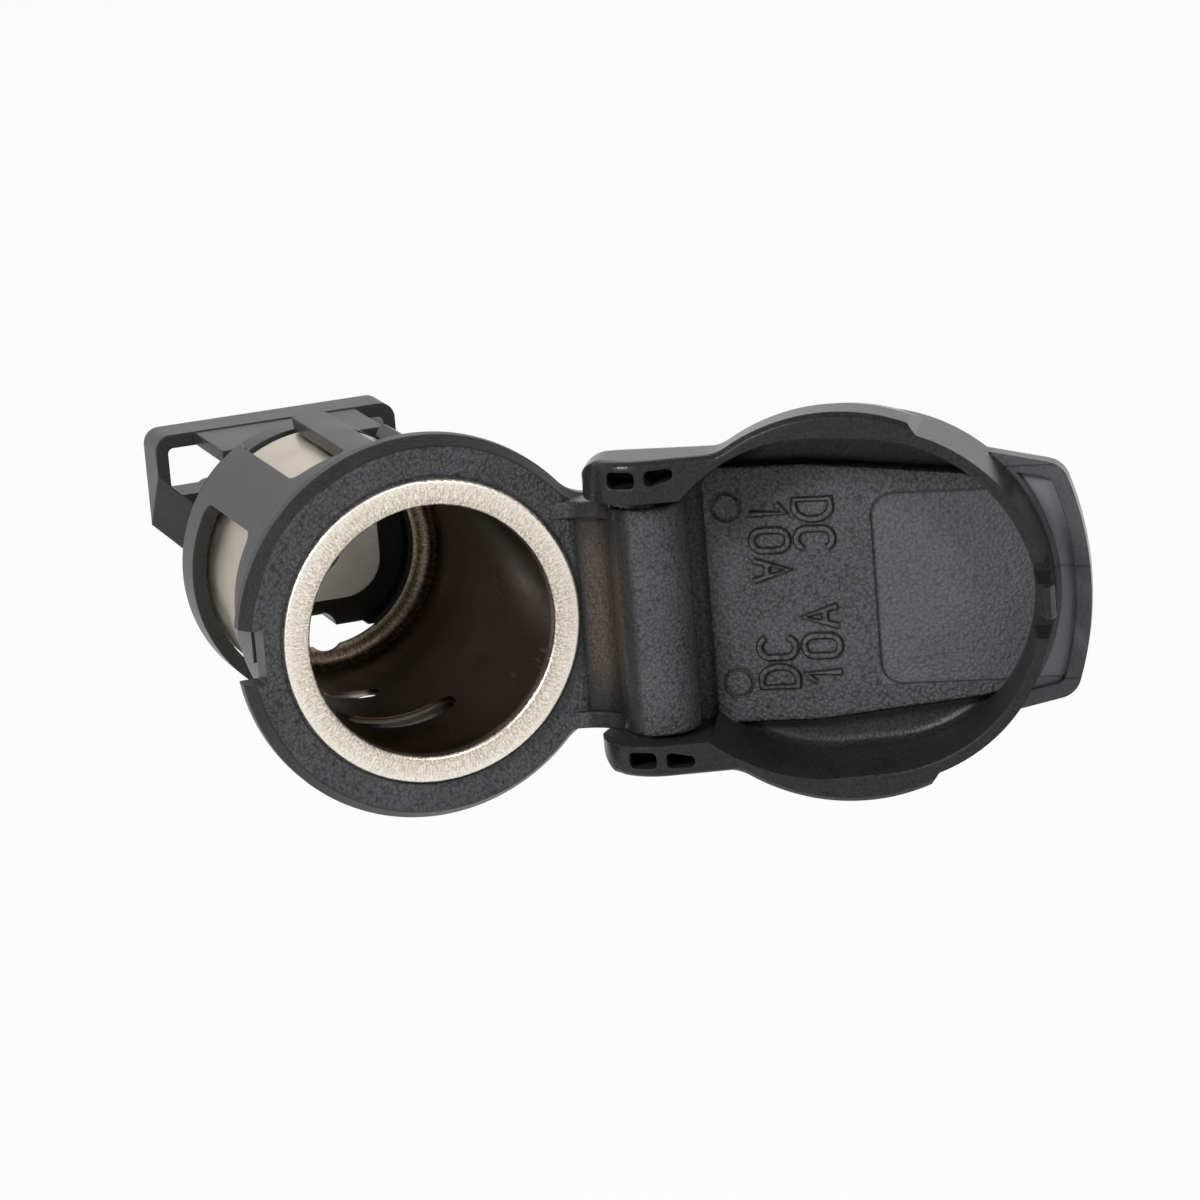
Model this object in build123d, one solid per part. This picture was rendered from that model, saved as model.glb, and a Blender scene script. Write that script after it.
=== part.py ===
from build123d import *
import math
import os

# Sizes are in millimetres.
# Each piece is drawn with x toward the hinge, y up and z out of the mouth; FRAME then turns z to the part's -Y.

# Barrel: drawn steel shell for a standard 12 V plug
bore_d = 21.0
barrel_wall = 0.55
lip_d = 25.4
lip_t = 0.6
lip_roll = 0.38
barrel_depth = 33.4
bottom_round = 1.2
bottom_hole_d = 17.2
bottom_notch_r = 1.55
bottom_notch_y = -7.5
slot_rows = ((-14.2, -10.6, -4.8, 4.9), (-23.9, -21.5, -3.7, 1.3))

# Bezel: front ring
face_drop = 0.5
lip_gap = 0.22
bezel_d = 32.2
face_inset = 0.8
bezel_t = 2.8
bezel_flare = 1.4
bezel_edge = 0.3
seat_t = 1.4
seat_clear = 0.2
notch_side_gap = 0.95
latch_gap = 0.3

# Hinge and its bracket on the bezel
hinge_stand = 1.8
hinge_z = 3.4
hinge_r = 3.2
hinge_low = -10.3
hinge_high = 9.0
hinge_edge = 0.35
bracket_root = -7.7
bracket_knee = (-4.2, -2.6)
bracket_shoulder = (-2.7, 1.7)
web_top = (-1.2, -2.9)
web_root = -1.6
gusset_r = 4.2
trough_wall = 1.35
trough_start = -4.8
trough_sag = (0.35, 0.9)
trough_bite = 0.1
trough_rise = -0.6
pin_d = 2.0
pin_low = -12.6
pin_high = 12.0
pin_end_gap = 0.2
pin_running_gap = 0.05
open_angle = 152.5

# Cage: sleeve behind the ring
cage_d = 26.0
cage_wall = 1.75
cage_gap = 0.1
hoop_d = 25.0
collar_end = -15.6
collar_slope = (1.2, 2.0)
hoop_w = 3.3
hoop_rise = 1.4
windows = ((147, 238), (267, 300), (325, 393))
rear_notches = ((97, 121), (59, 83))
window_corner = 1.1
clip_angles = (180, 100, 260)
clip_w = 4.0
clip_h = 0.55
clip_bite = 0.3
clip_z = (-7.0, -10.2)

# Base: insulator, rear frame and connector shell
base_plate_t = 3.0
base_flat = -7.3
recess_d = 16.6
recess_depth = 1.6
frame_stand = 9.9
frame_t = 4.1
frame_half_w = 11.0
frame_top = 9.9
frame_side = 1.2
frame_corner = 1.4
frame_foot_w = 5.6
frame_foot = -7.0
frame_slope = (6.4, 1.2)
frame_rim = 1.1
roof_half_w = 7.3
roof_t = 1.1
roof_drop = 0.1
roof_bite = 2.0
window_floor = 4.4
window_round = 0.5
neck_half_w = 3.9
neck_top = 6.0
shell_half_w = 5.0
shell_y = (-6.2, 3.0)
shell_l = 7.2
shell_wall = 0.9
shell_corner = 1.2

# Contacts
plate_w = 11.8
plate_h = 9.6
plate_corner = 3.4
plate_t = 0.6
rivet_d = 2.4
rivet_head_d = 4.6
rivet_head_t = 0.8
blade_w = 6.3
blade_t = 0.8
blade_x = 2.6
blade_inset = 1.2
blade_point = 1.0
foot_drop = 5.2
earth_leg_r = 9.3
strap_w = 4.0

# Lid, drawn closed with z = 0 on its rim
rim_gap = 0.3
lid_h = 9.0
lid_inset = 1.1
lid_wall = 0.95
lid_edge = 1.5
lid_drop = 0.2
flange_over = 0.25
flange_x = 1.8
flange_h = 3.5
flange_taper = 12.5
flange_start = -3.5
flange_slant = 1.6
rim_round = 0.4
cavity_inset = 0.7
pocket_round = 1.0
plateau_round = 0.45
cavity_x = 4.0
cavity_taper = 7.0
pocket_depth = 7.4
plateau_depth = 6.0
plateau_half = ((-1.4, 11.0), (-12.9, 11.0), (-26.3, 9.6), (-32.5, 8.0))
plate_end = -4.4
ear_gap = (0.3, 0.8)
ear_outer = 13.3
ear_r = 5.0
ear_blend = 3.0
ear_corner = 2.4
ear_root = -7.1
ear_round = 0.7
ear_pockets = (((0.0, 11.1), (2.3, 11.1), (2.3, 12.5), (0.0, 12.5)), ((-0.8, 11.1), (-0.8, 12.5), (-3.1, 12.6), (-3.1, 11.7)))
ear_pocket_depth = 2.7
ear_pocket_corner = 0.45
cover_gap = 0.45
cover_step = 0.7
cover_end = 1.5
label_w = 13.4
label_h = 16.2
label_x = -24.8
label_depth = 0.3
label_corner = 1.8
insert_x = -6.25
insert_y = 7.5
insert_r = (1.3, 1.0)
insert_depth = 0.25
tab_reach = 1.8
tab_z = 6.4
tab_tip = (1.8, 9.7)
tab_root = (8.9, 11.3)
tab_corner = 2.2
tab_border = 1.3
tab_recess = 0.7
tab_recess_half = 9.3
tab_gap = 0.4
tab_edge = 0.8
latch_slot = (1.35, 3.2)
latch_slot_h = 4.6
latch_reach = 1.1
latch_wall = 0.45
latch_hook = 0.55
latch_root = 2.4

# Overshoot of cuts
clear = 1.0
far = 60.0

FRAME = Plane(origin=(0, 0, 0), x_dir=(1, 0, 0), z_dir=(0, -1, 0))
PROFILE = Plane.XZ
face_d = bezel_d - 2 * face_inset
hinge_x = bezel_d / 2 + hinge_stand
lid_wall_d = bezel_d - 2 * lid_inset
flange_d = bezel_d + 2 * flange_over
cavity_d = lid_wall_d - 2 * cavity_inset
tab_end = -bezel_d / 2 - tab_reach
hoop_end = hoop_rise - barrel_depth
hoop_start = hoop_end + hoop_w
frame_front = -barrel_depth - frame_stand
frame_back = frame_front - frame_t
shell_end = frame_back - shell_l
blade_tip = shell_end + blade_inset
foot_z = -barrel_depth - foot_drop
bore_r = bore_d / 2
shell_r = bore_r + barrel_wall
cage_r = cage_d / 2
cage_in = cage_r - cage_wall
face_z = -face_drop
bezel_back = face_z - bezel_t
seat_back = -lip_t - seat_t
rim_z = face_z + rim_gap
lid_hinge_z = hinge_z - rim_z
ear_low = hinge_low - ear_gap[0]
ear_high = hinge_high + ear_gap[1]
tongue_r = lid_wall_d / 2 - lid_wall / 2
notch_r = tongue_r - latch_gap
notch_w = 2 * (latch_slot[0] + notch_side_gap)
contact_front = -barrel_depth - recess_depth + plate_t


def turned(outline):
    """Revolves an outline of (radius, z) about the socket's axis."""
    return revolve(PROFILE * outline, Axis.Z)


def block(x0, x1, y0, y1, z0, z1):
    """A box between two corners, used for cuts and plain walls."""
    return Pos((x0 + x1) / 2, (y0 + y1) / 2, (z0 + z1) / 2) * Box(abs(x1 - x0), abs(y1 - y0), abs(z1 - z0))


def along_y(face, low, high):
    """Extrudes an outline drawn in x and z from one y to another."""
    return Pos(0, high, 0) * extrude(PROFILE * face, high - low)


def drafted(face, low, high, draft):
    """Extrudes an outline from one z up to another, with walls that lean inward by the draft angle."""
    solid = extrude(face, high - low, taper=draft)
    if solid.bounding_box().min.Z < -1e-3:
        solid = mirror(solid, Plane.XY)
    return Pos(0, 0, low) * solid


def rod(radius, low, high):
    """A cylinder on the hinge's direction between two y values."""
    return Pos(0, (low + high) / 2, 0) * Rot(90, 0, 0) * Cylinder(radius, high - low)


# Barrel
def make_barrel():
    profile = make_face(Polyline(
        (bore_r, 0), (lip_d / 2, 0), (lip_d / 2, -lip_t), (shell_r, -lip_t), (shell_r, -barrel_depth),
        (bottom_hole_d / 2, -barrel_depth), (bottom_hole_d / 2, -barrel_depth + barrel_wall),
        (bore_r, -barrel_depth + barrel_wall), close=True))
    rounds = (((bore_r, 0), lip_roll), ((lip_d / 2, 0), lip_t * 0.4), ((lip_d / 2, -lip_t), lip_t * 0.4),
              ((shell_r, -barrel_depth), bottom_round + barrel_wall), ((bore_r, -barrel_depth + barrel_wall), bottom_round))
    for (r, z), radius in rounds:
        profile = fillet(profile.vertices().sort_by_distance((r, z, 0))[0], radius)
    shell = turned(profile)
    shell -= Pos(0, bottom_notch_y, -barrel_depth) * Cylinder(bottom_notch_r, 4 * barrel_wall)
    for z0, z1, x0, x1 in slot_rows:
        opening = RectangleRounded(x1 - x0, z1 - z0, (z1 - z0) * 0.42)
        shell -= extrude(PROFILE * Pos((x0 + x1) / 2, (z0 + z1) / 2) * opening, shell_r + clear)
    return shell


# Bezel ring with the hinge bracket
def make_bezel():
    """The ring and the bracket's foot in one flared outline, hollowed for the lip, the barrel and the cage."""
    reach = hinge_x + web_root
    foot = Pos(reach / 2, (hinge_low + hinge_high) / 2) * Rectangle(reach, hinge_high - hinge_low)
    plan = Circle(bezel_d / 2) + foot
    inner_corners = [v for v in plan.vertices() if 0 < v.X < reach - clear / 10]
    plan = fillet(inner_corners, gusset_r)
    ring = extrude(Pos(0, 0, bezel_back) * plan, bezel_t)
    top = ring.faces().sort_by(Axis.Z)[-1]
    rim = [e for e in top.edges() if e.center().X < reach - clear / 10]
    ring = chamfer(rim, face_inset, bezel_flare, reference=top)
    soft = [e for e in ring.edges() if e.center().X < reach - clear and e.bounding_box().size.Z < 1e-3]
    ring = fillet(soft, bezel_edge)

    pocket_r = lip_d / 2 + lip_gap
    room = turned(make_face(Polyline(
        (0, face_z + far), (pocket_r, face_z + far), (pocket_r, -lip_t), (shell_r + seat_clear, -lip_t), (shell_r + seat_clear, seat_back),
        (cage_r + cage_gap, seat_back), (cage_r + cage_gap, bezel_back - clear), (0, bezel_back - clear), close=True)))
    body = ring + make_bracket() - room
    body -= block(-bezel_d, -notch_r, -notch_w / 2, notch_w / 2, bezel_back - clear, face_z + clear)
    return body - Pos(hinge_x, 0, hinge_z) * rod(pin_d / 2, hinge_low - clear, hinge_high + clear)


def from_hinge(offset):
    """A point in x and z given by its distance from the hinge's axis."""
    return hinge_x + offset[0], hinge_z + offset[1]


def make_bracket():
    """The ramp that carries the hinge barrel, hollowed to a curved trough behind the lip."""
    root = hinge_x + bracket_root
    ramp = make_face(Curve() + [
        Polyline((root, face_z), (root, bezel_back), (hinge_x + web_root, bezel_back), from_hinge(web_top),
                 (hinge_x, hinge_z), from_hinge(bracket_shoulder)),
        ThreePointArc(from_hinge(bracket_shoulder), from_hinge(bracket_knee), (root, face_z))])
    barrel = fillet(rod(hinge_r, hinge_low, hinge_high).edges().filter_by(GeomType.CIRCLE), hinge_edge)
    bracket = along_y(ramp, hinge_low, hinge_high) + Pos(hinge_x, 0, hinge_z) * barrel

    start = (hinge_x + trough_start, face_z)
    end = (hinge_x - hinge_r + trough_bite, hinge_z + trough_rise)
    sag = (end[0] - trough_sag[0], start[1] + trough_sag[1])
    trough = make_face(Curve() + [
        ThreePointArc(start, sag, end),
        Polyline(end, (end[0], hinge_z + hinge_r + clear), (root - clear, hinge_z + hinge_r + clear), (root - clear, face_z), start)])
    return bracket - along_y(trough, hinge_low + trough_wall, hinge_high - trough_wall)


# Cage
def make_cage():
    sleeve = turned(make_face(Polyline(
        (cage_in, seat_back), (cage_r, seat_back), (cage_r, collar_end + collar_slope[1]), (hoop_d / 2, collar_end + collar_slope[0]),
        (hoop_d / 2, hoop_end), (cage_in, hoop_end), close=True)))
    for start, end in windows:
        sleeve -= opening(start, end, hoop_start, collar_end)
    for start, end in rear_notches:
        sleeve -= opening(start, end, hoop_end - 2 * window_corner, collar_end)
    root = cage_r - clip_bite
    for angle in clip_angles:
        lug = make_face(Polyline((root, clip_z[0]), (cage_r + clip_h, clip_z[0]), (root, clip_z[1]), close=True))
        sleeve += Rot(0, 0, angle) * along_y(lug, -clip_w / 2, clip_w / 2)
    return sleeve


def opening(start, end, low, high):
    """A cutter for a window of the sleeve, between two angles and two heights, with rounded corners."""
    near, outer = cage_in - clear, 2 * cage_r
    angles = [math.radians(start + (end - start) * i / 4) for i in range(5)]
    outline = [(outer * math.cos(a), outer * math.sin(a)) for a in angles] + [(near * math.cos(a), near * math.sin(a)) for a in reversed(angles)]
    cutter = extrude(Pos(0, 0, low) * make_face(Polyline(*outline, close=True)), high - low)
    radial = [e for e in cutter.edges() if abs(e.length - (outer - near)) < 1e-3]
    return fillet(radial, window_corner)


# Base with the rear frame and the connector shell
def make_base():
    front = -barrel_depth
    back = front - base_plate_t
    plate = Pos(0, 0, front - base_plate_t / 2) * Cylinder(shell_r, base_plate_t)
    plate -= Pos(0, 0, front - recess_depth / 2) * Cylinder(recess_d / 2, recess_depth)
    plate -= block(-far, far, -far, base_flat, front + clear, back - clear)
    neck = block(-neck_half_w, neck_half_w, base_flat, neck_top, back, frame_front)
    roof_top = frame_top - roof_drop
    roof = block(-roof_half_w, roof_half_w, roof_top - roof_t, roof_top, front - base_plate_t + roof_bite, frame_front)
    shell = block(-shell_half_w, shell_half_w, shell_y[0], shell_y[1], frame_back, shell_end)
    shell = fillet(shell.edges().filter_by(Axis.Z), shell_corner)
    shell -= block(-shell_half_w + shell_wall, shell_half_w - shell_wall, shell_y[0] + shell_wall, shell_y[1] - shell_wall,
                   frame_back, shell_end)
    body = plate + neck + roof + rear_frame() + shell
    body -= Pos(0, bottom_notch_y, front) * Cylinder(bottom_notch_r, 4 * base_plate_t)
    for part in (make_blade(1), make_blade(-1), make_rivet()):
        body -= part
    return body


def rear_frame():
    """The deep frame behind the base: its flanks slope outward to the rear, with a window under each end of the roof."""
    def outline(side):
        half = ((frame_half_w, frame_top), (frame_half_w, side), (frame_foot_w, side - frame_half_w + frame_foot_w), (frame_foot_w, frame_foot))
        return make_face(Polyline(*half, *[(-x, y) for x, y in reversed(half)], close=True))

    frame = loft([Pos(0, 0, frame_back) * outline(frame_slope[1]), Pos(0, 0, frame_front) * outline(frame_slope[0])], ruled=True)
    upright = [e for e in frame.edges() if e.center().Y > frame_top - 1e-3 and e.bounding_box().size.X < 1e-3]
    frame = fillet(upright, frame_corner)
    right = frame_half_w - frame_rim
    ceiling = frame_top - roof_drop - roof_t
    slope = frame_slope[0] - frame_rim
    window = make_face(Polyline(
        (neck_half_w, ceiling), (right, ceiling), (right, slope), (right - slope + window_floor, window_floor), (neck_half_w, window_floor), close=True))
    window = fillet(window.vertices(), window_round)
    cut = extrude(Pos(0, 0, frame_back - clear) * window, frame_t + 2 * clear)
    return frame - cut - mirror(cut, Plane.YZ)


def make_blade(side):
    """A terminal: the tongue in the connector with a foot at the rivet, or a strap and leg to the barrel's flange."""
    mid_y = (shell_y[0] + shell_y[1]) / 2
    x = side * blade_x
    top = foot_z if side > 0 else -barrel_depth - base_plate_t
    tongue = block(x - blade_t / 2, x + blade_t / 2, mid_y - blade_w / 2, mid_y + blade_w / 2, top, blade_tip)
    tongue = chamfer(tongue.edges().filter_by(Axis.X).group_by(Axis.Z)[0], blade_point)
    if side > 0:
        return tongue + block(-rivet_d / 2, x, mid_y - blade_w / 2, -mid_y, top, top - blade_t)
    strap = block(-earth_leg_r, x, mid_y - strap_w / 2, mid_y + strap_w / 2, top, top - blade_t)
    leg = block(-earth_leg_r, -earth_leg_r + blade_t, mid_y - strap_w / 2, mid_y + strap_w / 2, top, -barrel_depth)
    return tongue + strap + leg


def make_rivet():
    """A round-headed rivet through the contact plate."""
    head = Pos(0, 0, contact_front + rivet_head_t / 2) * Cylinder(rivet_head_d / 2, rivet_head_t)
    head = fillet(head.edges().group_by(Axis.Z)[-1], rivet_head_t * 0.6)
    stem = contact_front - foot_z
    return head + Pos(0, 0, contact_front - stem / 2) * Cylinder(rivet_d / 2, stem)


def make_contact():
    plate = extrude(Pos(0, 0, contact_front - plate_t) * RectangleRounded(plate_w, plate_h, plate_corner), plate_t)
    return plate - Pos(0, 0, contact_front) * Cylinder(rivet_d / 2, 4 * plate_t)


# Hinge pin
def make_pin():
    pin = chamfer(rod(pin_d / 2, pin_low, pin_high).edges().filter_by(GeomType.CIRCLE), pin_d / 10)
    return Pos(hinge_x, 0, hinge_z) * pin


# Lid, drawn closed and standing on its rim
def lid_outer():
    """The cup, the wide rim of the hinge half and the ears, before it is hollowed."""
    cup = Pos(0, 0, lid_h / 2) * Cylinder(lid_wall_d / 2, lid_h)
    cup = fillet(cup.edges().group_by(Axis.Z)[-1], lid_edge)
    reach = hinge_x + ear_r
    plan = Pos(flange_x, 0) * Circle(flange_d / 2) + Pos(reach / 2 + ear_r / 2, 0) * Rectangle(reach - ear_r, 2 * ear_outer)
    ear_corners = [v for v in plan.vertices() if abs(abs(v.Y) - ear_outer) < 1e-3]
    plan = fillet([v for v in ear_corners if v.X < hinge_x], ear_blend)
    plan = fillet([v for v in plan.vertices() if v.X > reach - 1e-2], ear_corner)
    low = extrude(plan, flange_h)
    low = chamfer(low.edges().group_by(Axis.Z)[0], rim_round)
    rim = low + drafted(plan, flange_h, lid_hinge_z + ear_r + lid_drop, flange_taper)

    # The rim follows the ears' height toward the hinge and ends in a slant on each flank
    ear_top = lid_h - lid_drop
    side = make_hull((Pos(hinge_x, lid_hinge_z) * Circle(ear_r)).edges() + (Pos(-hinge_x / 2, ear_top / 2) * Rectangle(hinge_x, ear_top)).edges())
    rim &= along_y(side, -far, far)
    inner = lid_wall_d / 2 - lid_wall
    ends = make_face(Polyline(
        (-far, far), (flange_start, far), (flange_start, flange_d / 2), (flange_start - flange_slant, inner),
        (flange_start - flange_slant, -inner), (flange_start, -flange_d / 2), (flange_start, -far), (-far, -far), close=True))
    rim -= extrude(ends, 2 * lid_h)
    return cup + rim + ear_noses(reach)


def ear_noses(reach):
    """The ears' fronts, which slant out of the rim's plane and round the hinge's axis."""
    root = hinge_x + ear_root
    plan = Pos((root + reach) / 2, 0) * Rectangle(reach - root, 2 * ear_outer)
    plan = fillet([v for v in plan.vertices() if v.X > reach - 1e-2], ear_corner)
    plan -= Pos(root, (ear_low + ear_high) / 2) * Rectangle(far, ear_high - ear_low)
    side = make_hull((Pos(hinge_x, lid_hinge_z) * Circle(ear_r)).edges() + (Pos(root + clear, flange_h / 2) * Rectangle(2 * clear, flange_h)).edges())
    noses = extrude(Pos(0, 0, -ear_r) * plan, ear_r + flange_h) & along_y(side, -far, far)
    outer = [e for e in noses.edges() if abs(abs(e.center().Y) - ear_outer) < 1e-3 and e.center().Z < flange_h - 1e-3]
    return fillet([e for e in outer if e.bounding_box().size.X > 1e-3], ear_round)


def lid_tab():
    """The finger tab with its shallow recess on the inner side."""
    tip, root = [(tab_end + x, y) for x, y in (tab_tip, tab_root)]
    far_tip, far_root = [(x, -y) for x, y in (tip, root)]
    outline = make_face(Curve() + [Polyline(far_tip, far_root, root, tip), ThreePointArc(tip, (tab_end, 0), far_tip)])
    outline = fillet([v for v in outline.vertices() if v.X < root[0] - clear], tab_corner)
    tab = extrude(Pos(0, 0, tab_z) * outline, lid_h - tab_z - lid_drop)
    tab = fillet(tab.faces().sort_by(Axis.Z)[-1].edges().filter_by(lambda e: e.center().X < root[0] - clear / 2), tab_edge)
    recess = offset(outline, -tab_border) & Rectangle(far, 2 * tab_recess_half)
    recess -= Circle(lid_wall_d / 2 + tab_gap)
    return tab - extrude(Pos(0, 0, tab_z) * recess, tab_recess)


def hinge_room():
    """The space between the ears that the hinge barrel turns in, leaving the lid's top as a skin over it."""
    edge = hinge_x + plate_end
    end = hinge_x + 3 * ear_r
    below = Pos((edge + end) / 2, plateau_depth + cover_step - lid_h) * Rectangle(end - edge, 2 * lid_h)
    beyond = Pos((hinge_x + cover_end + end) / 2, 0) * Rectangle(end - hinge_x - cover_end, 6 * lid_h)
    room = Pos(hinge_x, lid_hinge_z) * Circle(hinge_r + cover_gap) + below + beyond
    return along_y(room, ear_low, ear_high)


def lid_hollow():
    """The cutter for the cup: a drafted pocket with a rounded floor, less the plateau that stands in it."""
    cavity = make_hull(Circle(lid_wall_d / 2 - lid_wall).edges() + (Pos(cavity_x, 0) * Circle(cavity_d / 2)).edges())
    pocket = drafted(cavity, 0, pocket_depth, cavity_taper)
    pocket = fillet(pocket.edges().group_by(Axis.Z)[-1], pocket_round)
    half = [(hinge_x + x, y) for x, y in plateau_half]
    plateau = extrude(Pos(0, 0, plateau_depth) * make_face(Polyline(*half, *[(x, -y) for x, y in reversed(half)], close=True)), lid_h)
    plateau = fillet(plateau.edges().group_by(Axis.Z)[0], plateau_round)

    # Label recess and the two round insert marks, sunk in the plateau
    plateau -= extrude(Pos(hinge_x + label_x, 0, plateau_depth) * RectangleRounded(label_w, label_h, label_corner), label_depth)
    for side in (-1, 1):
        mark = Pos(hinge_x + insert_x, side * insert_y, plateau_depth) * (Circle(insert_r[0]) - Circle(insert_r[1]))
        plateau -= extrude(mark, insert_depth)
    return pocket - plateau + extrude(Pos(0, 0, -ear_r) * cavity, ear_r)


def make_lid():
    inner_r = lid_wall_d / 2 - lid_wall
    body = lid_outer() + lid_tab() - lid_hollow() - hinge_room()

    # Ear pockets on both ears, and the pin's hole, blind in the upper ear
    for points in ear_pockets:
        outline = make_face(Polyline(*[(hinge_x + x, y) for x, y in points], close=True))
        outline = Pos(0, 0, lid_hinge_z - ear_r) * fillet(outline.vertices(), ear_pocket_corner)
        cut = extrude(outline, ear_pocket_depth + ear_r - lid_hinge_z)
        body -= cut
        body -= mirror(cut, Plane.XZ)
    body -= Pos(hinge_x, 0, lid_hinge_z) * rod(pin_d / 2 + pin_running_gap, -2 * ear_outer, pin_high + pin_end_gap)

    # Latch tongue between two slots of the thin wall
    for side in (-1, 1):
        y0, y1 = sorted((side * latch_slot[0], side * latch_slot[1]))
        body -= block(-lid_wall_d / 2 - clear, -inner_r + lid_wall, y0, y1, -clear, latch_slot_h)
    tongue = make_face(Polyline(
        (-tongue_r, latch_root), (-tongue_r, -latch_reach), (-tongue_r - latch_hook, -latch_reach), (-tongue_r - 2 * latch_wall, -latch_wall / 2),
        (-tongue_r - latch_wall, latch_root * 2 / 3), (-tongue_r - latch_wall, latch_root), close=True))
    return body + along_y(tongue, -latch_slot[0], latch_slot[0])


def opened(lid):
    """Sets the closed lid on the ring, then swings it open about the hinge."""
    placed = FRAME * (Pos(0, 0, rim_z) * lid)
    return placed.rotate(Axis((hinge_x, -hinge_z, 0), (0, 0, 1)), open_angle)


def main():
    os.makedirs("parts", exist_ok=True)
    pieces = {
        "bezel": FRAME * make_bezel(),
        "cage": FRAME * make_cage(),
        "barrel": FRAME * make_barrel(),
        "base": FRAME * make_base(),
        "contact_plate": FRAME * make_contact(),
        "contact_rivet": FRAME * make_rivet(),
        "centre_blade": FRAME * make_blade(1),
        "earth_blade": FRAME * make_blade(-1),
        "hinge_pin": FRAME * make_pin(),
        "lid": opened(make_lid()),
    }
    for name, solid in pieces.items():
        solid.label = name
        export_step(solid, "parts/" + name + ".step")
        box = solid.bounding_box()
        print(name, len(solid.solids()), round(solid.volume, 1), [round(v, 2) for v in (*box.min, *box.max)])


main()
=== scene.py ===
"""Looks for the vehicle power socket: materials, rating marks, floor, light and camera around the solids.

Everything is in metres in the part's own frame: +Y runs down the barrel, -Y out of its mouth,
+X toward the hinge and +Z up along the hinge.
"""

import math

import bpy
from mathutils import Matrix, Vector


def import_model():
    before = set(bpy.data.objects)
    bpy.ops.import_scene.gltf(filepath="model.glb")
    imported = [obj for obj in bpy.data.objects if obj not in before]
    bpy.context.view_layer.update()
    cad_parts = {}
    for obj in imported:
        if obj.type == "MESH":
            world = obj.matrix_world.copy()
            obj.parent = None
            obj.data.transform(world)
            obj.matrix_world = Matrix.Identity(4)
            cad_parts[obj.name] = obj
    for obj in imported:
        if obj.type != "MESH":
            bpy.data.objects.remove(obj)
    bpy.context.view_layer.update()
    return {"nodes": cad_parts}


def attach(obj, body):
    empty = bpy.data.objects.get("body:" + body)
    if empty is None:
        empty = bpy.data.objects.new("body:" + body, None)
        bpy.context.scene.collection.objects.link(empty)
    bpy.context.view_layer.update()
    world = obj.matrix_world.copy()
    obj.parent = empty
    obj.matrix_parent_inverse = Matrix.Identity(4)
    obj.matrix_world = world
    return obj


MM = 0.001
HINGEWARD = (1, 0, 0)
OUT_OF_MOUTH = (0, -1, 0)
DOWN_BORE = (0, 1, 0)
UPWARD = (0, 0, 1)

# Camera, fitted to the photograph
EYE = Vector((-132.25, -447.35, 119.8)) * MM
LOOK = Vector((0.3021, 0.921, -0.2459))
LEVEL = Vector((0.9405, -0.33, -0.0809))
LENS_PER_IMAGE_WIDTH = 5891 / 1200
SENSOR_MM = 36.0
CLIP_NEAR, CLIP_FAR = 0.02, 20

# Barrel: radii and depths that its plating follows
BARREL_BORE = 10.5 * MM
LIP_MIDDLE = 11.6 * MM
LIP_EDGE = 12.7 * MM
BARREL_BOTTOM = 31.6 * MM
BOTTOM_EDGE = 8.6 * MM

# Bezel: distances from the axis toward the hinge where one surface turns into the next
RING_END = 12.4 * MM
WEB_START = 13.2 * MM
WEB_END = 15.2 * MM
HINGE_START = 15.8 * MM
# Where the web carries a painted warm reflection of the lip
LIP_REFLECTION_START = (12.8 * MM, 13.8 * MM)
LIP_REFLECTION_END = (15.4 * MM, 14.4 * MM)
LIP_REFLECTION_HEIGHT = (9.5 * MM, 3 * MM)

# Lid: its swing, and places in the closed lid's own axes, x toward the hinge, y up and z out from the rim
OPEN_ANGLE = math.radians(152.5)
PIVOT = Vector((17.9, -3.4, 0.0)) * MM
RIM_PLANE = 0.2 * MM
LID_DROP = 3.6 * MM
LID_X = Vector((math.cos(OPEN_ANGLE), math.sin(OPEN_ANGLE), 0))
LID_Z = Vector((math.sin(OPEN_ANGLE), -math.cos(OPEN_ANGLE), 0))
LID_WALL = 14.9 * MM
LID_GRAIN_DEPTH = (4.6 * MM, 5.4 * MM)
PLATEAU_DEPTH = 6.0 * MM
POCKET_DEPTH = (6.5 * MM, 6.9 * MM)
TAB_DEPTH = 6.4 * MM
TAB_RECESS = 0.7 * MM
TAB_START = (-26 * MM, -27 * MM)
PARTING_LINES = (9.7 * MM, 1.1 * MM, -8.3 * MM)
LABEL_MIDDLE = -24.8 * MM
LABEL_WIDE = 13.4 * MM
LABEL_HIGH = 16.2 * MM

# Rating marks on the lid's inner face
MARK_HEIGHT = 3.0 * MM
MARK_WIDTH = 1.7 * MM
MARK_PITCH = 2.5 * MM
MARK_STROKE = 0.68 * MM
MARK_VOXEL = 0.055 * MM
MARK_START = 7.9 * MM
MARK_ROWS = ((8.2 * MM, "10A", "DC"), (4.5 * MM, "DC", "10A"))

# Plastic: tones are dark, light and rubbed edges, the last partly wear and partly a painted highlight
BLACK = ((0.006, 0.0061, 0.0068), (0.105, 0.106, 0.112), (0.03, 0.0305, 0.033))
GREY = ((0.018, 0.018, 0.018), (0.041, 0.041, 0.04), (0.05, 0.05, 0.049))
# Painted light that lifts the shade on the lid's tab and label field
TAB_PAINTED_LIGHT = (0.165, 0.168, 0.18)
# Painted warm reflection of the lip on the bezel's web
LIP_REFLECTION_TONE = (0.088, 0.068, 0.05)
PLASTIC_SPECULAR = 0.2
PLASTIC_EDGE = 0.25 * MM
SMOOTH_RELIEF = 0.15
SMOOTH_SHADE = 0.22
GROOVE_HEIGHT = 2.5
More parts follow.
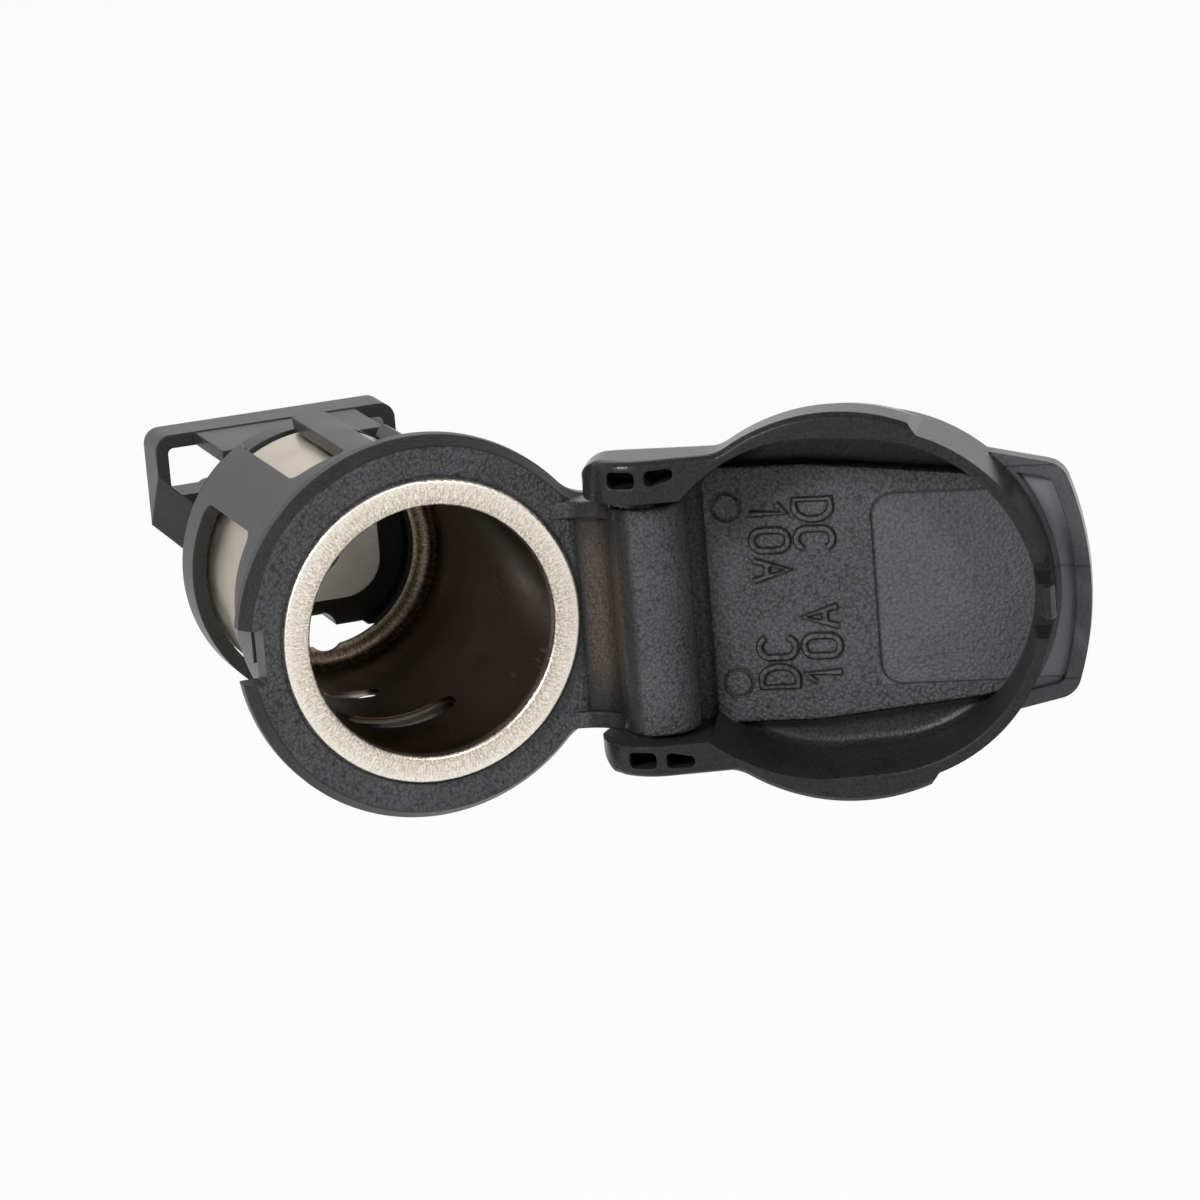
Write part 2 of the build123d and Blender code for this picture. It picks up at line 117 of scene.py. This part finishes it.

# Metal: tones are dark, light and rubbed edges, and those of the barrel's surfaces from dark to light
CONTACT = ((0.78, 0.765, 0.73), (0.88, 0.865, 0.83), (0.9, 0.89, 0.86))
BRASS = ((0.52, 0.42, 0.22), (0.72, 0.62, 0.4), (0.82, 0.74, 0.54))
WIRE = ((0.4, 0.4, 0.4), (0.6, 0.6, 0.6), (0.72, 0.72, 0.72))
LIP_TONES = ((0.56, 0.49, 0.39), (0.98, 0.925, 0.82))
# Painted highlight on the lip's outer rim, and painted shade on its roll into the bore
LIP_RIM_HIGHLIGHT = (0.95, 0.9, 0.8)
LIP_ROLL_SHADE = (0.36, 0.3, 0.23)
OUTSIDE_TONES = ((0.32, 0.275, 0.22), (0.64, 0.575, 0.485))
# Painted shade for the bore's bottom corner
CORNER_SHADE_TONES = ((0.13, 0.1, 0.072), (0.4, 0.34, 0.26))
# Painted shade down the bore's nickel-plated wall
BORE_SHADE_TONES = ((0.1, 0.07, 0.048), (0.17, 0.122, 0.085))
RUB_TONE = (0.5, 0.44, 0.36)
METAL_EDGE = 0.12 * MM

# Stage: softboxes are name, place, width and height, and watts
FLOOR_LEVEL = -0.1
FLOOR_HALF = 4.0
FLOOR_TONES = ((0.93, 0.93, 0.93), (0.96, 0.96, 0.96))
FLOOR_SHOWN = 0.93
WORLD_LIGHT = 0.2
WORLD_SHOWN = 1.0
CEILING = (0.0, -0.6, 0.8)
CEILING_EDGE = (0.2, 0.7)
CEILING_LOSS = 0.5
LIGHTS_AIM = (0.016, 0.014, 0.0)
SOFTBOXES = (
    ("key", (-0.6, -0.35, 0.45), (0.2, 0.2), 5.8),
    ("fill", (0.2, -0.75, 0.5), (0.3, 0.3), 2.6),
    ("back", (0.1, 0.6, 0.6), (0.6, 0.25), 0.8),
)


class Graph:
    """Short calls for wiring the nodes of a tree."""

    def __init__(self, tree):
        self.tree = tree
        self.where = self.add("ShaderNodeTexCoord")

    def add(self, kind, **settings):
        node = self.tree.nodes.new(kind)
        for name, value in settings.items():
            setattr(node, name, value)
        return node

    def join(self, source, target):
        self.tree.links.new(source, target)

    def feed(self, node, *values):
        """Sets or links a node's first inputs."""
        for socket, value in zip(node.inputs, values):
            if isinstance(value, bpy.types.NodeSocket):
                self.join(value, socket)
            else:
                socket.default_value = value

    def maths(self, operation, first, second=0.0):
        node = self.add("ShaderNodeMath", operation=operation)
        self.feed(node, first, second)
        return node.outputs[0]

    def vectors(self, operation, *values, output="Vector"):
        node = self.add("ShaderNodeVectorMath", operation=operation)
        self.feed(node, *values)
        return node.outputs[output]

    def dot(self, first, second):
        return self.vectors("DOT_PRODUCT", first, second, output="Value")

    def length(self, vector):
        return self.vectors("LENGTH", vector, output="Value")

    def pair(self, first, second):
        """Two values as the X and Y of a vector."""
        node = self.add("ShaderNodeCombineXYZ")
        self.feed(node, first, second)
        return node.outputs[0]

    def product(self, *factors):
        total = factors[0]
        for factor in factors[1:]:
            total = self.maths("MULTIPLY", total, factor)
        return total

    def blend(self, first, second, share):
        """Sum of share of the first value and the rest of the second."""
        return self.maths("ADD", self.product(first, share), self.product(second, 1 - share))

    def spread(self, value, low, high, start=0.0, end=1.0):
        """value from start..end mapped to low..high, and held there outside."""
        node = self.add("ShaderNodeMapRange")
        self.feed(node, value, start, end, low, high)
        return node.outputs["Result"]

    def step(self, value, start, end):
        """0 before start and 1 after end, with a soft change between."""
        node = self.add("ShaderNodeMapRange", interpolation_type="SMOOTHSTEP")
        self.feed(node, value, start, end, 0.0, 1.0)
        return node.outputs["Result"]


class Finish(Graph):
    """A new material, with calls for places on its object, patterns, colours and relief."""

    def __init__(self, name):
        self.material = bpy.data.materials.new(name)
        self.material.use_nodes = True
        super().__init__(self.material.node_tree)
        self.shader = self.tree.nodes["Principled BSDF"]

    def along(self, direction, origin=(0, 0, 0)):
        """Distance from origin in a direction, in the object's own space."""
        place = self.vectors("SUBTRACT", self.where.outputs["Object"], tuple(origin))
        return self.dot(place, tuple(direction))

    def facing(self, direction):
        """How far the surface faces a direction of the object's own space, 1 for straight on."""
        return self.dot(self.where.outputs["Normal"], tuple(direction))

    def stretched(self, scale):
        """Object coordinates multiplied along X, Y and Z."""
        return self.vectors("MULTIPLY", self.where.outputs["Object"], scale)

    def noise(self, size, detail=2.0, vector=None):
        """Noise whose features are about size across."""
        node = self.add("ShaderNodeTexNoise")
        node.inputs["Scale"].default_value = 1 / size
        node.inputs["Detail"].default_value = detail
        self.join(vector or self.where.outputs["Object"], node.inputs["Vector"])
        return node.outputs["Fac"]

    def pebbles(self, size):
        """Rounded pebbles about size across, as a spark-eroded mould leaves them."""
        node = self.add("ShaderNodeTexVoronoi", feature="SMOOTH_F1")
        node.inputs["Scale"].default_value = 1 / size
        node.inputs["Smoothness"].default_value = 0.5
        self.join(self.where.outputs["Object"], node.inputs["Vector"])
        return node.outputs["Distance"]

    def tint(self, value, dark, light):
        """Colour between dark and light by value."""
        node = self.add("ShaderNodeMix", data_type="RGBA")
        for name, colour in (("A", dark), ("B", light)):
            socket = next(item for item in node.inputs if item.name == name and item.type == "RGBA")
            if isinstance(colour, bpy.types.NodeSocket):
                self.join(colour, socket)
            else:
                socket.default_value = (*colour, 1)
        self.join(value, node.inputs["Factor"])
        return next(item for item in node.outputs if item.type == "RGBA")

    def rounded(self, radius):
        """Normal that softens sharp edges by radius, as a moulded or tumbled edge is."""
        node = self.add("ShaderNodeBevel", samples=4)
        node.inputs["Radius"].default_value = radius
        return node.outputs["Normal"]

    def edges(self, rounded):
        """1 on the edges that a rounded normal softens, 0 on flat and gently curved surfaces."""
        real = self.add("ShaderNodeNewGeometry").outputs["Normal"]
        return self.spread(self.dot(rounded, real), 1.0, 0.0, 0.8, 0.98)

    def relief(self, height, depth, normal):
        """Bump of the given depth in metres, on top of normal."""
        node = self.add("ShaderNodeBump")
        node.inputs["Strength"].default_value = 1.0
        node.inputs["Distance"].default_value = depth
        self.join(height, node.inputs["Height"])
        self.join(normal, node.inputs["Normal"])
        return node.outputs["Normal"]

    def set(self, name, source):
        self.join(source, self.shader.inputs[name])


def moulded_plastic(name, grain, depth, tones, roughness, zone=None, groove=None, polish=None, patch=None):
    """Moulded plastic with uneven gloss, a drift of colour and rubbed edges, whose tone is partly wear and
    partly a painted highlight.

    zone says where the spark-eroded grain lies, groove where hairlines are cut, polish where it shines more,
    and patch is a place given a tone of painted light or painted reflection.
    """
    finish = Finish(name)
    finish.shader.inputs["Specular IOR Level"].default_value = PLASTIC_SPECULAR
    drift = finish.noise(7 * MM, 3.0)
    fine = finish.noise(grain * 0.4, 3.0)
    pebbles = finish.pebbles(grain)
    height = finish.maths("ADD", pebbles, finish.product(fine, 0.5))
    rough = finish.maths("ADD", drift, fine)
    speckle = finish.maths("SUBTRACT", finish.product(fine, 0.8), finish.product(pebbles, 0.55))
    shade = finish.spread(finish.maths("ADD", finish.product(drift, 0.4), speckle), 0.0, 1.0, -0.05, 0.75)
    if zone:
        covered = zone(finish)
        height = finish.product(height, finish.spread(covered, SMOOTH_RELIEF, 1.0))
        rough = finish.maths("ADD", rough, finish.product(covered, 0.25))
        shade = finish.product(shade, finish.spread(covered, SMOOTH_SHADE, 1.0))
    if polish:
        rough = finish.maths("SUBTRACT", rough, polish(finish))
    if groove:
        height = finish.maths("SUBTRACT", height, finish.product(groove(finish), GROOVE_HEIGHT))
    soft = finish.rounded(PLASTIC_EDGE)
    dark, light, rubbed = tones
    colour = finish.tint(shade, dark, light)
    # The patch paints light or a reflection into the colour
    if patch:
        place, tone = patch
        colour = finish.tint(place(finish), colour, tone)
    # Edges lean toward the rubbed tone: partly wear, partly a painted highlight
    finish.set("Base Color", finish.tint(finish.product(finish.edges(soft), drift), colour, rubbed))
    finish.set("Roughness", finish.spread(rough, *roughness, 0.4, 1.5))
    finish.set("Normal", finish.relief(height, depth, soft))
    return finish.material


def bezel_zone(finish):
    """The ring's flat front and the hinge barrel carry the grain, the walls are smoother."""
    x = finish.along(HINGEWARD)
    front = finish.step(finish.facing(OUT_OF_MOUTH), 0.75, 0.95)
    ring = finish.product(front, finish.step(x, WEB_START, RING_END))
    return finish.maths("MAXIMUM", ring, finish.step(x, WEB_END, HINGE_START))


def bezel_polish(finish):
    """The web between the ring and the hinge barrel is the shiniest."""
    x = finish.along(HINGEWARD)
    return finish.product(finish.step(x, RING_END, WEB_START), finish.step(x, HINGE_START, WEB_END), 0.5)


def bezel_lip_reflection(finish):
    """Painted reflection of the lip: a warm speckled tint on the web beside it."""
    x = finish.along(HINGEWARD)
    z = finish.maths("ABSOLUTE", finish.along(UPWARD))
    near = finish.product(finish.step(x, *LIP_REFLECTION_START), finish.step(x, *LIP_REFLECTION_END))
    specks = finish.spread(finish.noise(0.22 * MM, 3.0), 0.2, 1.0, 0.35, 0.65)
    return finish.product(near, finish.step(z, *LIP_REFLECTION_HEIGHT), specks)


def lid_depth(finish):
    """Distance out from the closed lid's rim."""
    return finish.along(LID_Z, PIVOT - LID_Z * LID_DROP)


def lid_floor(finish):
    """1 on the faces of the lid's inner side that lie as deep as its plateau or deeper."""
    deep = finish.step(lid_depth(finish), PLATEAU_DEPTH - 0.5 * MM, PLATEAU_DEPTH - 0.1 * MM)
    return finish.product(deep, finish.step(finish.facing(LID_Z), 0.2, -0.2))


def lid_label(finish):
    """1 in the sunk label field on the plateau."""
    x = finish.maths("ABSOLUTE", finish.along(LID_X, PIVOT + LID_X * LABEL_MIDDLE))
    z = finish.maths("ABSOLUTE", finish.along(UPWARD))
    wide = finish.step(x, LABEL_WIDE / 2 + 0.05 * MM, LABEL_WIDE / 2 - 0.15 * MM)
    high = finish.step(z, LABEL_HIGH / 2 + 0.05 * MM, LABEL_HIGH / 2 - 0.15 * MM)
    return finish.product(lid_floor(finish), wide, high)


def lid_radial(finish):
    """Place across the lid, from the middle of its round wall."""
    return finish.pair(finish.along(LID_X, PIVOT - LID_X * PIVOT.x), finish.along(UPWARD))


def lid_outside(finish):
    """The walls that face away from the lid's middle are shinier."""
    out = finish.vectors("NORMALIZE", lid_radial(finish))
    facing = finish.pair(finish.facing(LID_X), finish.facing(UPWARD))
    return finish.product(finish.step(finish.dot(out, facing), 0.2, 0.5), 0.6)


def lid_tab(finish):
    """1 on the finger tab's inner side, 0 inside the lid's round wall, toward the hinge and on the back."""
    away = finish.step(finish.length(lid_radial(finish)), LID_WALL + 0.1 * MM, LID_WALL + 0.3 * MM)
    return finish.product(away, lid_floor(finish), finish.step(finish.along(LID_X, PIVOT), *TAB_START))


def lid_painted_light(finish):
    """Painted light: the tab's recess, which the lid's wall shades, and more faintly its border and the label
    field, are paler than the rest.
    """
    recess = finish.step(lid_depth(finish), TAB_DEPTH + 0.1 * MM, TAB_DEPTH + TAB_RECESS * 0.6)
    tab = finish.product(lid_tab(finish), finish.spread(recess, 0.3, 1.0))
    return finish.maths("MAXIMUM", tab, finish.product(lid_label(finish), 0.22))


def lid_zone(finish):
    """The plateau and the back carry the grain, the walls, pockets, rim and tab are smoother."""
    depth = lid_depth(finish)
    facing = finish.facing(LID_Z)
    pocket = finish.product(finish.step(depth, *POCKET_DEPTH), 0.8)
    smooth = finish.maths("MAXIMUM", finish.product(lid_tab(finish), 0.6), pocket)
    plateau = finish.product(finish.step(facing, -0.7, -0.9), finish.maths("SUBTRACT", 1.0, smooth))
    back = finish.step(facing, 0.5, 0.8)
    return finish.product(finish.maths("MAXIMUM", plateau, back), finish.step(depth, *LID_GRAIN_DEPTH))


def lid_groove(finish):
    """Hairline parting lines of the mould across the tab."""
    near = None
    for line in PARTING_LINES:
        gap = finish.maths("ABSOLUTE", finish.along(UPWARD, (0, 0, line)))
        near = finish.maths("MINIMUM", near, gap) if near else gap
    return finish.product(lid_tab(finish), finish.step(near, 0.09 * MM, 0.03 * MM))


def plated_metal(name, tones, roughness, grain, depth, streak):
    """Dull plated metal: speckled, with fine streaks drawn out by the streak scale, paler on rubbed edges."""
    finish = Finish(name)
    finish.shader.inputs["Metallic"].default_value = 1.0
    streaks = finish.noise(1.0, 2.0, finish.stretched(streak))
    mixed = finish.blend(finish.noise(grain, 4.0), streaks, 0.5)
    soft = finish.rounded(METAL_EDGE)
    dark, light, rubbed = tones
    colour = finish.tint(finish.step(mixed, 0.35, 0.65), dark, light)
    rough = finish.maths("ADD", mixed, finish.noise(6 * MM, 3.0))
    finish.set("Base Color", finish.tint(finish.product(finish.edges(soft), 0.6), colour, rubbed))
    finish.set("Roughness", finish.spread(rough, *roughness, 0.7, 1.3))
    finish.set("Normal", finish.relief(mixed, depth, soft))
    return finish.material


def plated_barrel():
    """Nickel plate: brushed across the lip, darkened by painted shade and smooth down the bore, rubbed by
    plugs near the mouth.
    """
    finish = Finish("plated_steel")
    finish.shader.inputs["Metallic"].default_value = 1.0
    across = finish.stretched((1, 0, 1))
    radius = finish.length(across)
    depth = finish.along(DOWN_BORE)

    # The bore's wall, without the lip's roll and the bottom corner
    inside = finish.step(radius, BARREL_BORE + 0.45 * MM, BARREL_BORE + 0.15 * MM)
    past_lip = finish.step(depth, 0.4 * MM, 1.5 * MM)
    bore = finish.product(inside, past_lip, finish.step(depth, BARREL_BOTTOM, BARREL_BOTTOM - 0.8 * MM))

    # Brush marks run across the lip and along the barrel
    turned = finish.vectors("MULTIPLY", finish.vectors("NORMALIZE", across), (LIP_MIDDLE,) * 3)
    slow = finish.pair(0.0, finish.product(finish.maths("ADD", radius, depth), 0.16))
    brush = finish.noise(0.1 * MM, 2.0, finish.vectors("ADD", turned, slow))
    speckle = finish.noise(0.2 * MM, 4.0)
    cloud = finish.noise(4 * MM, 3.0)
    mixed = finish.blend(brush, speckle, 0.5)

    # The lip: speckled plate, with a painted highlight on its outer rim and painted shade on the roll into
    # the bore
    plate = finish.tint(finish.step(mixed, 0.36, 0.64), *LIP_TONES)
    rim = finish.step(radius, LIP_EDGE - 0.9 * MM, LIP_EDGE - 0.3 * MM)
    plate = finish.tint(finish.product(rim, finish.spread(speckle, 0.1, 0.9, 0.3, 0.6)), plate, LIP_RIM_HIGHLIGHT)
    roll = finish.step(radius, BARREL_BORE + 0.9 * MM, BARREL_BORE + 0.4 * MM)
    roll = finish.product(roll, finish.step(depth, 2 * MM, 1 * MM), 0.6)
    plate = finish.tint(finish.product(roll, finish.step(speckle, 0.7, 0.3)), plate, LIP_ROLL_SHADE)

    # The outer wall is streaked and duller
    outside = finish.step(radius, BARREL_BORE, BARREL_BORE + 0.4 * MM)
    outside = finish.product(outside, finish.step(depth, 1 * MM, 2 * MM))
    plate = finish.tint(outside, plate, finish.tint(finish.blend(cloud, brush, 0.6), *OUTSIDE_TONES))

    # Painted shade darkens the bottom's corner, down to the flange's bright inner edge
    corner = finish.step(depth, BARREL_BOTTOM - 0.8 * MM, BARREL_BOTTOM)
    flange = finish.step(radius, BOTTOM_EDGE + 0.1 * MM, BOTTOM_EDGE + 0.5 * MM)
    corner_shade = finish.tint(finish.step(mixed, 0.4, 0.66), *CORNER_SHADE_TONES)
    plate = finish.tint(finish.product(corner, flange, inside), plate, corner_shade)

    # Plugs have rubbed marks along the first part of the bore
    rubs = finish.step(finish.noise(1.0, 3.0, finish.stretched((2200, 260, 2200))), 0.6, 0.72)
    rubs = finish.product(rubs, finish.step(depth, 11 * MM, 2 * MM), finish.step(cloud, 0.45, 0.6), 0.5)
    # The bore's wall is painted dark as shade, with the plugs' rubs on it
    wall = finish.tint(rubs, finish.tint(cloud, *BORE_SHADE_TONES), RUB_TONE)

    height = finish.product(mixed, finish.spread(bore, 1.0, 0.25))
    finish.set("Base Color", finish.tint(bore, plate, wall))
    finish.set("Roughness", finish.spread(finish.maths("ADD", mixed, cloud), 0.26, 0.46, 0.7, 1.3))
    finish.set("Normal", finish.relief(height, 0.02 * MM, finish.rounded(METAL_EDGE)))
    return finish.material


def dress_nodes(nodes):
    """Gives every solid its material, and returns the lid's."""
    lid = moulded_plastic(
        "plastic_lid",
        grain=0.28 * MM,
        depth=0.09 * MM,
        tones=BLACK,
        roughness=(0.2, 0.5),
        zone=lid_zone,
        groove=lid_groove,
        polish=lid_outside,
        patch=(lid_painted_light, TAB_PAINTED_LIGHT),
    )
    bezel = moulded_plastic(
        "plastic_bezel",
        grain=0.26 * MM,
        depth=0.09 * MM,
        tones=BLACK,
        roughness=(0.2, 0.5),
        zone=bezel_zone,
        polish=bezel_polish,
        patch=(bezel_lip_reflection, LIP_REFLECTION_TONE),
    )
    satin = moulded_plastic("plastic_satin", 0.22 * MM, 0.008 * MM, GREY, (0.24, 0.44))
    contact = plated_metal("contact_metal", CONTACT, (0.36, 0.52), 0.2 * MM, 0.004 * MM, (700, 700, 4000))
    brass = plated_metal("terminal_brass", BRASS, (0.25, 0.45), 0.2 * MM, 0.006 * MM, (4000, 500, 500))
    wire = plated_metal("pin_steel", WIRE, (0.25, 0.4), 0.15 * MM, 0.005 * MM, (3000, 3000, 400))
    finishes = {
        "bezel": bezel,
        "lid": lid,
        "cage": satin,
        "base": satin,
        "barrel": plated_barrel(),
        "contact_plate": contact,
        "contact_rivet": contact,
        "centre_blade": brass,
        "earth_blade": brass,
        "hinge_pin": wire,
    }
    for name, material in finishes.items():
        mesh = nodes[name].data
        mesh.materials.clear()
        mesh.materials.append(material)
    return lid


def arc(centre, radii, start, end, count=10):
    """Points of part of an ellipse, with angles in degrees."""
    angles = [math.radians(start + (end - start) * i / count) for i in range(count + 1)]
    return [(centre[0] + radii[0] * math.cos(a), centre[1] + radii[1] * math.sin(a)) for a in angles]


def mark_strokes():
    """Plain strokes of each mark in a box one wide and one high: closed or not, and its points."""
    bow = 0.5 * MARK_WIDTH / MARK_HEIGHT
    top, low = (0.5, 1 - bow), (0.5, bow)
    belly = arc((0.4, 0.5), (0.6, 0.5), 80, -80, 14)
    return {
        "1": [(False, [(0.18, 0.74), (0.62, 1.0), (0.62, 0.0)])],
        "0": [(True, arc(top, (0.5, bow), 0, 180) + arc(low, (0.5, bow), 180, 360))],
        "A": [(False, [(0.0, 0.0), (0.5, 1.0), (1.0, 0.0)]), (False, [(0.18, 0.36), (0.82, 0.36)])],
        "D": [(True, [(0.0, 0.0), (0.0, 1.0), (0.4, 1.0)] + belly + [(0.4, 0.0)])],
        "C": [(False, arc(top, (0.5, bow), 20, 180) + arc(low, (0.5, bow), 180, 340))],
    }


def lid_place():
    """Matrix from the closed lid's own axes to the open lid."""
    closed = Matrix(((1, 0, 0, 0), (0, 0, -1, RIM_PLANE), (0, 1, 0, 0), (0, 0, 0, 1)))
    swing = Matrix.Translation(PIVOT) @ Matrix.Rotation(OPEN_ANGLE, 4, "Z") @ Matrix.Translation(-PIVOT)
    return swing @ closed


def make_marks(material):
    """Raised rating marks on the lid's inner face, readable from either end, made as one rounded mesh."""
    strokes = mark_strokes()
    outline = bpy.data.curves.new("rating_strokes", "CURVE")
    outline.dimensions = "3D"
    outline.bevel_depth = MARK_STROKE / 2
    outline.bevel_resolution = 4
    outline.use_fill_caps = True
    place = lid_place()

    def write(word, row, start, turn):
        for i, letter in enumerate(word):
            for closed, points in strokes[letter]:
                spline = outline.splines.new("POLY")
                spline.points.add(len(points) - 1)
                spline.use_cyclic_u = closed
                for point, (across, up) in zip(spline.points, points):
                    x = row - turn * (up - 0.5) * MARK_HEIGHT
                    y = start - turn * (i * MARK_PITCH + across * MARK_WIDTH)
                    point.co = (*(place @ Vector((x, y, PLATEAU_DEPTH))), 1)

    for row, upright, turned in MARK_ROWS:
        write(upright, row, MARK_START, 1)
        write(turned, row, -MARK_START, -1)

    holder = bpy.data.objects.new("rating_strokes", outline)
    bpy.context.collection.objects.link(holder)
    mesh = bpy.data.meshes.new_from_object(holder.evaluated_get(bpy.context.evaluated_depsgraph_get()))
    bpy.data.objects.remove(holder)
    bpy.data.curves.remove(outline)
    marks = bpy.data.objects.new("rating_marks", mesh)
    bpy.context.collection.objects.link(marks)
    melt = marks.modifiers.new("melt", "REMESH")
    melt.mode = "VOXEL"
    melt.voxel_size = MARK_VOXEL
    melt.use_smooth_shade = True
    marks.data.materials.clear()
    marks.data.materials.append(material)
    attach(marks, "lid")


def make_camera():
    camera = bpy.data.objects.new("camera", bpy.data.cameras.new("camera"))
    bpy.context.collection.objects.link(camera)
    level, look = LEVEL.normalized(), LOOK.normalized()
    rise = level.cross(look)
    camera.matrix_world = Matrix.Translation(EYE) @ Matrix((level, rise, -look)).transposed().to_4x4()
    camera.data.sensor_width = SENSOR_MM
    camera.data.lens = SENSOR_MM * LENS_PER_IMAGE_WIDTH
    camera.data.clip_start, camera.data.clip_end = CLIP_NEAR, CLIP_FAR
    bpy.context.scene.camera = camera


def shown_white(graph, plain, share):
    """A factor that is share for what the camera, a mirror or clear glass sees, and plain for other light."""
    path = graph.add("ShaderNodeLightPath")
    seen = path.outputs["Is Camera Ray"]
    for kind in ("Is Glossy Ray", "Is Transmission Ray"):
        seen = graph.maths("MAXIMUM", seen, path.outputs[kind])
    return graph.spread(seen, plain, share)


def make_floor():
    """A pale floor that stays white to the camera and takes a faint shadow."""
    mesh = bpy.data.meshes.new("floor")
    corners = ((-1, -1), (1, -1), (1, 1), (-1, 1))
    points = [(x * FLOOR_HALF, y * FLOOR_HALF, FLOOR_LEVEL) for x, y in corners]
    mesh.from_pydata(points, [], [(0, 1, 2, 3)])
    floor = bpy.data.objects.new("floor", mesh)
    bpy.context.collection.objects.link(floor)
    finish = Finish("floor_paper")
    finish.shader.inputs["Roughness"].default_value = 0.9
    finish.set("Base Color", finish.tint(finish.noise(0.4, 2.0), *FLOOR_TONES))
    white = finish.add("ShaderNodeEmission")
    mix = finish.add("ShaderNodeMixShader")
    finish.feed(mix, shown_white(finish, 0.0, FLOOR_SHOWN), finish.shader.outputs[0], white.outputs[0])
    finish.join(mix.outputs[0], finish.tree.nodes["Material Output"].inputs["Surface"])
    mesh.materials.append(finish.material)


def make_world():
    """A white studio whose ceiling, over and behind the camera, is dimmer in reflections."""
    world = bpy.data.worlds.new("studio")
    world.use_nodes = True
    bpy.context.scene.world = world
    graph = Graph(world.node_tree)
    background = graph.tree.nodes["Background"]
    background.inputs["Color"].default_value = (1, 1, 1, 1)
    upward = graph.dot(graph.where.outputs["Generated"], CEILING)
    mirrored = graph.add("ShaderNodeLightPath").outputs["Is Glossy Ray"]
    lost = graph.product(graph.step(upward, *CEILING_EDGE), CEILING_LOSS, mirrored)
    strength = graph.maths("SUBTRACT", shown_white(graph, WORLD_LIGHT, WORLD_SHOWN), lost)
    graph.join(strength, background.inputs["Strength"])


def make_softbox(name, place, size, watts):
    lamp = bpy.data.lights.new(name, "AREA")
    lamp.shape = "RECTANGLE"
    lamp.size, lamp.size_y = size
    lamp.energy = watts
    holder = bpy.data.objects.new(name, lamp)
    bpy.context.collection.objects.link(holder)
    holder.location = place
    holder.rotation_euler = (Vector(LIGHTS_AIM) - Vector(place)).to_track_quat("-Z", "Y").to_euler()


def main():
    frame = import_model()
    bpy.context.scene.view_settings.view_transform = "Standard"
    make_camera()
    make_marks(dress_nodes(frame["nodes"]))
    make_world()
    make_floor()
    for softbox in SOFTBOXES:
        make_softbox(*softbox)


main()
